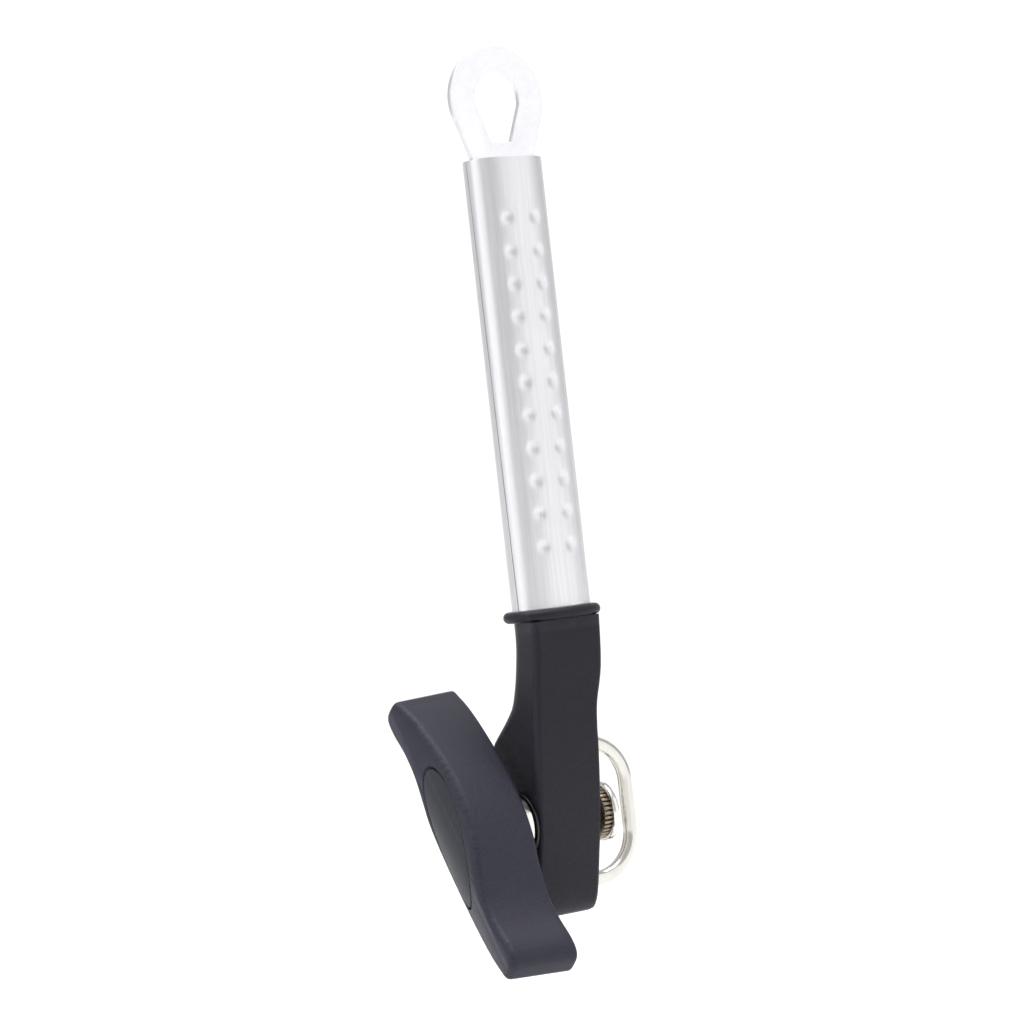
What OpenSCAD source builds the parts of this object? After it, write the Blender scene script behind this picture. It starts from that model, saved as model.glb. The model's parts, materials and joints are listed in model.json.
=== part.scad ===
// Manual can opener with a steel handle, a moulded head, a turning knob and a
// sprung cutting wheel. The origin is the centre of the hanging eye. +Z runs up
// the handle, -Y is the dimpled front and -X is the knob side.

/* [Hanging eye] */
// Outer diameter of the round eye
eye_d = 26; // [22:0.5:32]
// Diameter of the round part of the hanging hole
eye_hole_d = 12.4; // [9:0.1:15]
// Depth of the narrow foot of the hanging hole below its centre
eye_hole_foot = 10.5; // [9:0.1:12]
// Width of the hanging hole's flat foot
eye_hole_foot_w = 5.4; // [3:0.1:7]
// Thickness of the eye plate
eye_t = 1.5; // [1:0.1:2.5]
// Width of the eye plate where it enters the handle
eye_neck_w = 17.2; // [12:0.1:18]
// Width of the tang inside the handle
tang_w = 13; // [8:0.5:15]
// Length of the tang inside the handle
tang_len = 22; // [12:1:40]
// Distance from the eye's centre down to the handle's rim
eye_to_rim = 14.7; // [14:0.1:22]

/* [Handle] */
// Width of the steel handle, side to side
handle_w = 20.3; // [19.5:0.1:26]
// Depth of the steel handle, front to back
handle_t = 12.6; // [11:0.1:18]
// Length of the steel handle between its rim and the collar
handle_len = 109.2; // [100:0.1:150]
// Thickness of the steel sheet
sheet_t = 0.8; // [0.7:0.1:1.2]
// Gap of the seam between the two half shells
seam_gap = 0.2; // [0.1:0.05:0.4]
// How far the seam moves forward between the rim and the collar
seam_lean = 1.3; // [0:0.1:2]
// Rows of dimples
dimple_rows = 11; // [1:1:11]
// Distance between rows of dimples
dimple_pitch = 7.94; // [6:0.01:8]
// Distance between the two columns of dimples
dimple_gap = 7.8; // [5:0.1:9]
// Diameter of a dimple at the surface
dimple_d = 3.6; // [2:0.1:4.5]
// Depth of a dimple
dimple_depth = 0.45; // [0.2:0.05:0.5]

/* [Head] */
// How far the collar stands out around the handle
collar_out = 2.2; // [1:0.1:3]
// Height of the collar
collar_t = 2.7; // [2:0.1:4]
// Length of the head's tongue inside the handle
tongue_len = 30; // [15:1:60]
// Distance from the collar's top down to the drive axis
axis_drop = 51.1; // [50:0.1:60]
// Distance of the drive axis behind the handle's middle
axis_back = 3; // [0:0.1:5]
// Distance from the drive axis down to the head's lower end
head_tail = 24; // [22.5:0.1:30]
// Distance of the wheel face from the handle's middle
wheel_face = 5.6; // [5:0.1:8]
// Distance of the knob-side boss face from the handle's middle
boss_face = 13; // [11:0.1:16]
// Reach of the head behind the drive axis
head_back = 16.8; // [15:0.1:20]

/* [Carrier plate] */
// Thickness of the steel plate let into the wheel face
plate_t = 1.5; // [1:0.1:2]
// Diameter of the plate screws
plate_screw_d = 3; // [2:0.5:3]

/* [Guide loop] */
// Diameter of the loop's wire
wire_d = 3.7; // [3:0.1:4]
// Distance between the loop's two legs, centre to centre
loop_span = 33; // [30:0.5:36]
// Distance of the loop's bar from the handle's middle
loop_reach = 17.4; // [16:0.1:22]
// Bend radius of the loop, to the wire's centre
loop_bend = 10.5; // [7:0.1:11]
// Depth of the loop's legs in the head
loop_leg_in = 9; // [5:0.5:12]

/* [Drive] */
// Diameter of the drive shaft
shaft_d = 7; // [5:0.1:7.5]
// Running clearance on a radius, for the shaft, cutting wheel and arm
run_fit = 0.05; // [0.02:0.01:0.1]
// Seating clearance on a radius, for pieces that are pressed or fixed
seat_fit = 0.02; // [0.01:0.01:0.05]
// Wall of the bearing bush
bush_wall = 1.5; // [1:0.1:2]
// Number of teeth on the feed wheel
feed_teeth = 36; // [24:1:48]
// Radius to the tips of the feed wheel's teeth
feed_r = 6.7; // [6:0.1:8]
// Depth of the feed wheel's teeth
tooth_depth = 0.8; // [0.5:0.1:1.2]
// Thickness of the feed wheel
feed_t = 2.4; // [1.5:0.1:3]
// Radius of the flange disc behind the feed wheel
flange_r = 7.5; // [7:0.1:9]
// Thickness of the flange disc
flange_t = 2; // [1.5:0.1:3]

/* [Cutter] */
// Radius of the cutting wheel
cutter_r = 6.5; // [5:0.1:7]
// Thickness of the cutting wheel
cutter_t = 1.2; // [0.8:0.1:1.5]
// Gap between the cutting edge and the feed teeth when closed
nip = 0.6; // [0.4:0.1:1.5]
// Diameter of the cutting wheel's axle
cutter_axle_d = 4; // [3:0.1:5]
// Thickness of the cutter arm
arm_t = 1.8; // [1.2:0.1:2.2]
// Height of the arm's pivot above the drive axis
pivot_rise = 14; // [13.5:0.1:15]
// Distance of the arm's pivot behind the drive axis
pivot_back = 12.2; // [11:0.1:12.4]
// Diameter of the arm's pivot pin
pivot_d = 4; // [3:0.1:5]
// Wire diameter of the arm's return spring
spring_wire = 0.8; // [0.5:0.1:0.9]

/* [Knob] */
// Thickness of the knob at its edge
knob_t = 15.2; // [12:0.1:18]
// Height of the crown on the knob's face
knob_crown = 2.8; // [1:0.1:3.5]
// Turn of the knob from the handle's direction
knob_turn = 37; // [0:1:180]
// Turn of the oval cap from the handle's direction
cap_turn = 22; // [0:1:180]
// Half length of the knob
knob_half = 38.9; // [36:0.1:46]
// Half width of the knob's middle
knob_belly = 9.8; // [8.5:0.1:11]
// Half width of the knob's blunt ends
knob_tip = 3.4; // [3:0.1:4.5]
// Length of the oval cap
cap_len = 35; // [30:0.5:38]
// Width of the oval cap
cap_w = 12; // [10:0.1:13]
// Thickness of the oval cap below the knob's edge
cap_t = 1; // [0.8:0.1:2.5]
// Gap around the oval cap
cap_gap = 0.3; // [0.2:0.05:0.5]
// Gap between the knob and the head's boss
knob_gap = 3.2; // [2.8:0.1:5]
// Radius of the bright thrust cup between knob and head
cup_r = 7.2; // [6:0.1:8]

/* [Hidden] */

round_fn = 64;
cut = 0.5;                               // how far a cutting tool runs past a face
squareness = 2.4;                        // 2 is an ellipse, more is squarer
oval_sides = 56;

steel = [0.78, 0.78, 0.77];
dark_plastic = [0.13, 0.13, 0.15];
grey_plastic = [0.35, 0.35, 0.36];
bronze = [0.70, 0.53, 0.30];

// Heights of the main faces
rim_z = -eye_to_rim;
collar_z = rim_z - handle_len;
collar_low = collar_z - collar_t;
axis_z = collar_z - axis_drop;
head_low = axis_z - head_tail;

// Places along the drive axis, from the knob to the wheels
knob_back = -(boss_face + knob_gap);
knob_edge = knob_back - knob_t;
knob_top = knob_edge - knob_crown;
bush_r = shaft_d / 2 + run_fit + bush_wall;
feed_x = wheel_face + 0.6;
flange_x = feed_x + feed_t;
flange_end = flange_x + flange_t;
seat_d = 4.6;                            // shaft seat inside the wheels
washer_t = 0.6;
square_w = 0.7 * shaft_d;   // the knob's square, whose corners stay inside the shaft
cup_wall = 0.7;
cup_x = -boss_face - washer_t - 0.3;     // the cup's open rim, near the head
cup_depth = cup_x - knob_back;

// Places on the wheel face
plate_x = wheel_face - plate_t;
loop_y = axis_back;
loop_top = axis_z + 17;
loop_low = loop_top - loop_span;
cutter_y = axis_back + feed_r + nip + cutter_r;
cutter_x = flange_x - 0.9 - cutter_t;
arm_x = flange_x - 0.6;
arm_end = arm_x + arm_t;
pivot_y = axis_back + pivot_back;
pivot_z = axis_z + pivot_rise;
arm_end_r = 3.7;                         // radius of the arm's two round ends
clip_t = 0.6;
float_gap = 0.12;                        // end play beside a turning piece

function oval(w, t, n) = [
    for (i = [0 : oval_sides - 1])
        let (a = 360 * (i + 0.5) / oval_sides)
            [w / 2 * sign(cos(a)) * pow(abs(cos(a)), 2 / n),
             t / 2 * sign(sin(a)) * pow(abs(sin(a)), 2 / n)]
];

// One point of a smooth curve through b and c, with a and d as its neighbours
function bend(a, b, c, d, s) =
    0.5 * (2 * b + (c - a) * s + (2 * a - 5 * b + 4 * c - d) * s * s
        + (3 * b - a - 3 * c + d) * s * s * s);

// A smooth open curve through a list of points
function smooth(p, steps) = [
    for (i = [0 : len(p) - 2], k = [0 : steps - 1])
        bend(p[max(i - 1, 0)], p[i], p[i + 1], p[min(i + 2, len(p) - 1)], k / steps),
    p[len(p) - 1]
];

// A smooth closed curve through a list of points
function smooth_ring(p, steps) = let (n = len(p)) [
    for (i = [0 : n - 1], k = [0 : steps - 1])
        bend(p[(i + n - 1) % n], p[i], p[(i + 1) % n], p[(i + 2) % n], k / steps)
];

// Where the line from a point touches a circle around the origin, drawn in a
// little so that the line and the circle overlap
function tangent_point(p, r) =
    let (a = atan2(p[1], p[0]) + acos(r / norm(p)), inside = 0.995 * r)
        [inside * cos(a), inside * sin(a)];

// Stands an outline in (Y, Z) up and gives it a thickness along X
module along_x(x, t) {
    translate([x, 0, 0]) rotate([90, 0, 90]) linear_extrude(t) children();
}

// Stands an outline in (X, Z) up and gives it a thickness along Y
module along_y(y, t) {
    translate([0, y + t, 0]) rotate([90, 0, 0]) linear_extrude(t) children();
}

// Places a round shape, made along +Z, on a line along +X
module on_line(x, y, z) {
    translate([x, y, z]) rotate([0, 90, 0]) children();
}

module on_axis(x) {
    on_line(x, axis_back, axis_z) children();
}

module rod(r, len) {
    cylinder(r = r, h = len, $fn = round_fn);
}

module tube(r_out, r_in, len) {
    difference() {
        rod(r_out, len);
        translate([0, 0, -cut]) rod(r_in, len + 2 * cut);
    }
}

// ---- Handle ----

// The whole handle wall, before it is parted into its two half shells
module handle_wall() {
    inner_w = handle_w - 2 * sheet_t;
    inner_t = handle_t - 2 * sheet_t;
    translate([0, 0, collar_z]) linear_extrude(handle_len) difference() {
        polygon(oval(handle_w, handle_t, squareness));
        polygon(oval(inner_w, inner_t, squareness));
    }
}

// All the space in front of the seam (side = -1) or behind it (side = 1)
module seam_side(side) {
    reach = handle_w + 10;
    lean = atan(seam_lean / handle_len);
    translate([0, 0, rim_z]) rotate([-lean, 0, 0])
        translate([-reach / 2, side > 0 ? seam_gap / 2 : -reach - seam_gap / 2, -handle_len - reach / 2])
            cube([reach, reach, handle_len + reach]);
}

module dimples() {
    ball_r = (dimple_d * dimple_d / 4 + dimple_depth * dimple_depth) / (2 * dimple_depth);
    x = dimple_gap / 2;
    fall = pow(1 - pow(2 * x / handle_w, squareness), 1 / squareness);
    y = -handle_t / 2 * fall - ball_r + dimple_depth;
    first = (handle_len - (dimple_rows - 1) * dimple_pitch) / 2;
    for (row = [0 : dimple_rows - 1], side = [-1, 1])
        translate([side * x, y, rim_z - first - row * dimple_pitch])
            sphere(r = ball_r, $fn = 48);
}

module front_shell() {
    color(steel) difference() {
        intersection() {
            handle_wall();
            seam_side(-1);
        }
        dimples();
    }
}

module rear_shell() {
    color(steel) intersection() {
        handle_wall();
        seam_side(1);
    }
}

// The eye's neck and the tang below it
module eye_neck() {
    neck = [eye_neck_w / 2, rim_z];
    touch = tangent_point(neck, eye_d / 2);
    shoulder = rim_z - 0.6;
    polygon([
        [-touch[0], touch[1]], [touch[0], touch[1]], neck, [neck[0], shoulder],
        [tang_w / 2, shoulder], [tang_w / 2, rim_z - tang_len],
        [-tang_w / 2, rim_z - tang_len], [-tang_w / 2, shoulder],
        [-neck[0], shoulder], [-neck[0], rim_z]
    ]);
}

module eye_hole() {
    foot = [eye_hole_foot_w / 2, -eye_hole_foot];
    touch = tangent_point(foot, eye_hole_d / 2);
    circle(d = eye_hole_d, $fn = 96);
    polygon([[-touch[0], touch[1]], touch, foot, [-foot[0], foot[1]]]);
}

module hanging_eye() {
    color(steel) difference() {
        union() {
            along_y(-eye_t / 2, eye_t) circle(d = eye_d, $fn = 96);
            along_y(-eye_t / 2, eye_t) eye_neck();
        }
        along_y(-eye_t / 2 - cut, eye_t + 2 * cut) eye_hole();
    }
}

// Closes the handle's upper end around the tang
module rim_plug() {
    plug_t = 6;
    plug_top = rim_z - 1;
    fit = 2 * (sheet_t + 0.1);
    color(grey_plastic) difference() {
        translate([0, 0, plug_top - plug_t]) linear_extrude(plug_t)
            polygon(oval(handle_w - fit, handle_t - fit, squareness));
        translate([0, 0, plug_top - plug_t / 2])
            cube([tang_w + 2 * seat_fit, eye_t + 2 * seat_fit, plug_t + 2 * cut], center = true);
    }
}

// ---- Head ----

// The head seen from the knob side, as (Y, Z)
module head_side() {
    front = [
        [-handle_t / 2 - 0.6, collar_low], [-handle_t / 2 - 0.9, axis_z + 32],
        [-handle_t / 2 - 0.9, axis_z + 18], [axis_back - 7.8, axis_z + 1],
        [axis_back - 5.2, axis_z - 9], [axis_back - 2.2, axis_z - 19],
        [axis_back + 1, head_low + 0.9], [axis_back + 4.5, head_low]
    ];
    back = [
        [axis_back + 7, head_low + 0.5], [axis_back + 12, axis_z - 19],
        [axis_back + head_back - 1.5, axis_z - 11], [axis_back + head_back, axis_z - 1],
        [axis_back + head_back - 1, axis_z + 9], [axis_back + head_back - 5.3, axis_z + 18.5],
        [handle_t / 2 + 2.9, axis_z + 26.5], [handle_t / 2 + 0.6, axis_z + 35],
        [handle_t / 2 + 0.2, collar_low]
    ];
    polygon(concat(smooth(front, 6), smooth(back, 6)));
}

// The head seen from the front, as (X, Z)
module head_front() {
    half = handle_w / 2 - 0.4;
    wheel_side = [
        [half, collar_low], [half - 1.2, axis_z + 36],
        [wheel_face + 0.6, axis_z + 27], [wheel_face, axis_z + 21]
    ];
    knob_low = [
        [-boss_face + 3.6, head_low], [-boss_face + 0.6, head_low + 3],
        [-boss_face, axis_z - 16]
    ];
    knob_high = [
        [-boss_face, axis_z + 15], [-boss_face + 0.8, axis_z + 25],
        [-half - 1.1, axis_z + 35], [-half - 0.1, axis_z + 43], [-half, collar_low]
    ];
    polygon(concat(
        smooth(wheel_side, 6),
        [[wheel_face, head_low + 1], [wheel_face - 1, head_low]],
        smooth(knob_low, 4), smooth(knob_high, 6)));
}

// The carrier plate's outline on the wheel face, as (Y, Z)
module plate_outline() {
    low = loop_low + wire_d / 2 + 1;
    high = loop_top + wire_d / 2 + 1.6;
    front = axis_back - bush_r - 0.8;
    back = pivot_y + 2;
    polygon([
        [front, high], [front, axis_z - 1], [front + 3, low],
        [axis_back + 10, low], [back, axis_z - 8], [back, high - 4], [back - 4, high]
    ]);
}

// The pocket for the plate, let out all round by a small clearance
module plate_pocket(fit) {
    plate_outline();
    for (y = [-fit, fit], z = [-fit, fit])
        translate([y, z]) plate_outline();
}

// Screw places on the carrier plate, as (Y, Z)
screw_spots = [
    [axis_back + 9, axis_z - 10],
    [axis_back + 5.2, axis_z + 12.2]
];

module leg_holes(x, len) {
    for (z = [loop_top, loop_low])
        on_line(x, loop_y, z) rod(wire_d / 2 + seat_fit, len);
}

module head_housing() {
    tongue_fit = 2 * (sheet_t + 0.05);
    plate_fit = 0.05;
    color(dark_plastic) difference() {
        union() {
            intersection() {
                along_x(-boss_face - 1, boss_face + handle_w) head_side();
                along_y(-handle_w, 3 * handle_w) head_front();
            }
            translate([0, 0, collar_low]) linear_extrude(collar_t)
                polygon(oval(handle_w + 2 * collar_out, handle_t + 2 * collar_out, squareness));
            translate([0, 0, collar_z - cut]) linear_extrude(tongue_len + cut)
                polygon(oval(handle_w - tongue_fit, handle_t - tongue_fit, squareness));
        }
        on_axis(-boss_face - cut) rod(bush_r + seat_fit, boss_face + wheel_face + 2 * cut);
        along_x(plate_x, plate_t + cut) plate_pocket(plate_fit);
        leg_holes(wheel_face - loop_leg_in, loop_leg_in + cut);
        on_line(plate_x - 6.1, pivot_y, pivot_z) rod(pivot_d / 2 + seat_fit, 7);
        for (spot = screw_spots)
            on_line(plate_x - 8.1, spot[0], spot[1]) rod(plate_screw_d / 2 + seat_fit, 9);
    }
}

module carrier_plate() {
    color(steel) difference() {
        along_x(plate_x, plate_t) plate_outline();
        on_axis(plate_x - cut) rod(bush_r + seat_fit, plate_t + 2 * cut);
        leg_holes(plate_x - cut, plate_t + 2 * cut);
        on_line(plate_x - cut, pivot_y, pivot_z) rod(pivot_d / 2 + seat_fit, plate_t + 2 * cut);
        for (spot = screw_spots)
            on_line(plate_x - cut, spot[0], spot[1])
                rod(plate_screw_d / 2 + seat_fit, plate_t + 2 * cut);
    }
}

module plate_screws() {
    head_h = 0.5;
    color(steel) for (spot = screw_spots)
        on_line(plate_x - 8, spot[0], spot[1]) difference() {
            union() {
                rod(plate_screw_d / 2, 8 + plate_t);
                translate([0, 0, 8 + plate_t]) rod(plate_screw_d * 0.75, head_h);
            }
            for (turn = [0, 90])
                rotate([0, 0, turn]) translate([0, 0, 8 + plate_t + head_h])
                    cube([plate_screw_d, 0.5, 0.6], center = true);
        }
}

module bearing_bush() {
    color(bronze) on_axis(-boss_face)
        tube(bush_r, shaft_d / 2 + run_fit, boss_face + wheel_face);
}

// ---- Guide loop ----

// A quarter bend in the loop's plane, about a centre at (x, z)
module loop_corner(x, z, start) {
    translate([x, loop_y, z]) rotate([90, 0, 0]) rotate([0, 0, start])
        rotate_extrude(angle = 90, $fn = 96)
            translate([loop_bend, 0]) circle(d = wire_d, $fn = 32);
}

module guide_loop() {
    bend_x = loop_reach - loop_bend;
    leg_start = wheel_face - loop_leg_in;
    color(steel) {
        loop_corner(bend_x, loop_top - loop_bend, 0);
        loop_corner(bend_x, loop_low + loop_bend, -90);
        for (z = [loop_top, loop_low])
            on_line(leg_start, loop_y, z) cylinder(d = wire_d, h = bend_x - leg_start, $fn = 32);
        translate([loop_reach, loop_y, loop_low + loop_bend])
            cylinder(d = wire_d, h = loop_span - 2 * loop_bend, $fn = 32);
    }
}

// ---- Cutter arm ----

module pivot_pin() {
    shoulder_x = wheel_face + 0.1;
    color(steel) on_line(plate_x - 6, pivot_y, pivot_z) union() {
        rod(pivot_d / 2, 6 + plate_t + (arm_end - wheel_face) + clip_t + 0.9);
        translate([0, 0, shoulder_x - plate_x + 6])
            rod(pivot_d / 2 + 0.7, arm_x - float_gap - shoulder_x);
    }
}

module pivot_clip() {
    color(steel) on_line(arm_end + float_gap, pivot_y, pivot_z)
        tube(pivot_d / 2 + 1.2, pivot_d / 2 + seat_fit, clip_t);
}

// The spring's coil as one hollow drum, with the leg that rests behind the arm
module arm_spring() {
    coil_r = pivot_d / 2 + 0.7 + 0.3;
    coil_h = arm_x - wheel_face - 0.6;
    leg_len = 7;
    color(steel) {
        on_line(wheel_face + 0.3, pivot_y, pivot_z) tube(coil_r + spring_wire, coil_r, coil_h);
        translate([wheel_face + 0.3 + coil_h / 2, pivot_y - coil_r - spring_wire / 2, pivot_z - leg_len])
            cylinder(d = 0.75 * spring_wire, h = leg_len, $fn = 24);
    }
}

// The arm as two round ends joined by a straight bar, as (Y, Z)
module arm_outline() {
    run = [cutter_y - pivot_y, axis_z - pivot_z];
    for (end = [[pivot_y, pivot_z], [cutter_y, axis_z]])
        translate(end) circle(r = arm_end_r, $fn = round_fn);
    translate([pivot_y, pivot_z]) rotate(atan2(run[1], run[0]))
        translate([0, -arm_end_r]) square([norm(run), 2 * arm_end_r]);
}

module cutter_arm() {
    color(steel) difference() {
        along_x(arm_x, arm_t) arm_outline();
        on_line(arm_x - cut, pivot_y, pivot_z) rod(pivot_d / 2 + run_fit, arm_t + 2 * cut);
        on_line(arm_x - cut, cutter_y, axis_z) rod(cutter_axle_d / 2 + seat_fit, arm_t + 2 * cut);
    }
}

module cutter_axle() {
    flange_h = 0.4;
    start = cutter_x - float_gap - flange_h;
    color(steel) on_line(start, cutter_y, axis_z) union() {
        rod(cutter_axle_d / 2 + 1, flange_h);
        rod(cutter_axle_d / 2, arm_end - start + clip_t + 0.5);
    }
}

module cutter_clip() {
    color(steel) on_line(arm_end, cutter_y, axis_z)
        tube(cutter_axle_d / 2 + 1.2, cutter_axle_d / 2 + seat_fit, clip_t);
}

module cutting_wheel() {
    bore = cutter_axle_d / 2 + run_fit;
    edge = 0.12;
    bevel = 1.6;
    color(steel) on_line(cutter_x, cutter_y, axis_z) rotate_extrude($fn = 96)
        polygon([
            [bore, 0], [cutter_r, 0], [cutter_r, edge],
            [cutter_r - bevel, cutter_t], [bore, cutter_t]
        ]);
}

// ---- Drive ----

module drive_shaft() {
    square_len = 8;
    body_start = knob_back;
    body_end = feed_x - 0.4;
    color(steel) difference() {
        union() {
            on_axis(body_start) rod(shaft_d / 2, body_end - body_start);
            on_axis(body_end - 0.01) rod(seat_d / 2, flange_end - body_end - 0.2);
            on_axis(body_start - square_len) translate([-square_w / 2, -square_w / 2, 0])
                cube([square_w, square_w, square_len + 0.5]);
        }
        on_axis(flange_end - 6) rod(1.25 + seat_fit, 7);
        on_axis(body_start - square_len - cut) rod(1.5 + seat_fit, 7 + cut);
    }
}

module feed_wheel() {
    points = [
        for (i = [0 : feed_teeth - 1], k = [0, 1])
            let (r = k == 0 ? feed_r : feed_r - tooth_depth, a = 360 * (i + k / 2) / feed_teeth)
                [r * cos(a), r * sin(a)]
    ];
    color(steel) on_axis(feed_x) difference() {
        linear_extrude(feed_t) polygon(points);
        translate([0, 0, -cut]) rod(seat_d / 2 + seat_fit, feed_t + 2 * cut);
    }
}

module flange_disc() {
    edge_r = 0.6;
    color(steel) on_axis(flange_x) difference() {
        union() {
            rod(flange_r - edge_r, flange_t);
            translate([0, 0, edge_r]) rod(flange_r, flange_t - 2 * edge_r);
            for (z = [edge_r, flange_t - edge_r])
                translate([0, 0, z]) rotate_extrude($fn = 96)
                    translate([flange_r - edge_r, 0]) circle(r = edge_r, $fn = 24);
        }
        translate([0, 0, -cut]) rod(seat_d / 2 + seat_fit, flange_t + 2 * cut);
    }
}

module wheel_screw() {
    head_h = 1.3;
    color(steel) on_axis(flange_end - 5.5) difference() {
        union() {
            rod(1.25, 5.6);
            translate([0, 0, 5.5]) rod(3.2, head_h);
        }
        translate([0, 0, 5.5 + head_h]) cube([8, 0.9, 1.2], center = true);
    }
}

// The steel washer that the knob's cup turns against
module boss_washer() {
    color(steel) on_axis(-boss_face - washer_t)
        tube(cup_r + 0.6, shaft_d / 2 + run_fit, washer_t);
}

module thrust_cup() {
    color(steel) on_axis(knob_back) difference() {
        rod(cup_r, cup_depth);
        translate([0, 0, cup_wall]) rod(cup_r - cup_wall, cup_depth);
        translate([0, 0, -cut]) rod(shaft_d / 2 + seat_fit, cup_depth + 2 * cut);
    }
}

// Two cupped spring washers, pressed flat inside the thrust cup
module disc_springs() {
    ring_t = 0.5;
    color(steel) for (i = [0, 1])
        on_axis(knob_back + cup_wall + 0.05 + i * (ring_t + 0.1))
            tube(cup_r - cup_wall - 0.4, shaft_d / 2 + seat_fit, ring_t);
}

// ---- Knob ----

// Half of the knob's outline: u along the knob, v across it
function knob_edge_points() = let (e = knob_half, b = knob_belly, t = knob_tip) [
    [e, 0.35 * t], [e - 0.6, -0.5 * t], [e - 2.7, -0.9 * t], [e - 6.4, -0.92 * t],
    [0.68 * e, -0.65 * t], [0.5 * e, -0.77 * t], [0.34 * e, 5 - b], [0.21 * e, 2.5 - b],
    [1, 0.6 - b], [-0.18 * e, -b], [-0.39 * e, 0.4 - b], [-0.62 * e, 1.6 - b],
    [-0.8 * e, 3.1 - b], [3 - e, 4.8 - b], [0.3 - e, 6.1 - b]
];

module knob_outline() {
    half = knob_edge_points();
    both = concat(half, [for (p = half) -p]);
    translate([axis_back, axis_z]) rotate(90 - knob_turn) polygon(smooth_ring(both, 4));
}

module cap_outline(grow) {
    points = oval(cap_len + grow, cap_w + grow, 2);
    translate([axis_back, axis_z]) rotate(90 - cap_turn) polygon(points);
}

insert_w = 8.6;                          // the square steel insert in the knob
insert_len = 9;
cap_floor = knob_edge + cap_t;           // the flat floor under the oval cap
head_seat = cap_floor + 3;               // where the head of the knob's screw rests

// All the space under the knob's crowned face, which arches across its width
module under_crown() {
    crown_r = (knob_belly * knob_belly + knob_crown * knob_crown) / (2 * knob_crown);
    translate([knob_top + crown_r, axis_back, axis_z]) rotate([-knob_turn, 0, 0])
        cylinder(r = crown_r, h = 2 * knob_half + 20, center = true, $fn = 128);
}

module knob_body() {
    color(dark_plastic) difference() {
        intersection() {
            along_x(knob_top - cut, knob_back - knob_top + cut) knob_outline();
            under_crown();
        }
        along_x(knob_top - cut, cap_floor - knob_top + cut) cap_outline(2 * cap_gap);
        on_axis(cap_floor - cut) rod(3.4, head_seat - cap_floor + cut);
        on_axis(cap_floor - cut) rod(1.5 + run_fit, knob_back - cap_floor + cut);
        on_axis(knob_back - insert_len) translate([-insert_w / 2, -insert_w / 2, 0])
            cube([insert_w, insert_w, insert_len + cut]);
    }
}

module knob_insert() {
    gap = 2 * seat_fit;
    w = insert_w - gap;
    socket = square_w + gap;
    color(steel) difference() {
        on_axis(knob_back - insert_len + gap) translate([-w / 2, -w / 2, 0])
            cube([w, w, insert_len - gap]);
        on_axis(knob_back - 8 - gap) translate([-socket / 2, -socket / 2, 0])
            cube([socket, socket, 8 + gap + cut]);
        on_axis(knob_back - insert_len - cut) rod(1.5 + seat_fit, insert_len);
    }
}

module knob_screw() {
    head_h = 2;
    head_x = head_seat - head_h;
    color(steel) on_axis(head_x) difference() {
        union() {
            rod(3, head_h);
            rod(1.5, knob_back - 1.5 - head_x);
        }
        for (turn = [0, 90])
            rotate([0, 0, turn]) cube([4, 0.8, 2], center = true);
    }
}

module knob_cap() {
    color(dark_plastic) intersection() {
        along_x(knob_top - cut, cap_floor - knob_top + cut) cap_outline(0);
        under_crown();
    }
}

front_shell();
rear_shell();
hanging_eye();
rim_plug();
head_housing();
carrier_plate();
plate_screws();
bearing_bush();
guide_loop();
pivot_pin();
pivot_clip();
arm_spring();
boss_washer();
drive_shaft();
feed_wheel();
flange_disc();
wheel_screw();
thrust_cup();
disc_springs();
knob_insert();
knob_body();
knob_screw();
knob_cap();
cutter_arm();
cutter_axle();
cutter_clip();
cutting_wheel();
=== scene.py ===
# %% [markdown]
# # A one-hand can opener
#
# The opener has a flat steel handle, a moulded head, a turning knob and, on the
# far side, a toothed feed wheel, a cutting wheel on a sprung arm and a wire loop.
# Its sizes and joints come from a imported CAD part. That part is loaded first and
# stays where it is. Every new piece takes the place of one of its nodes and
# rides on the same moving body, so the looks follow the motion.

# %% Load the CAD part
import json
import math

import bmesh
import bpy
from mathutils import Matrix, Vector

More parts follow.
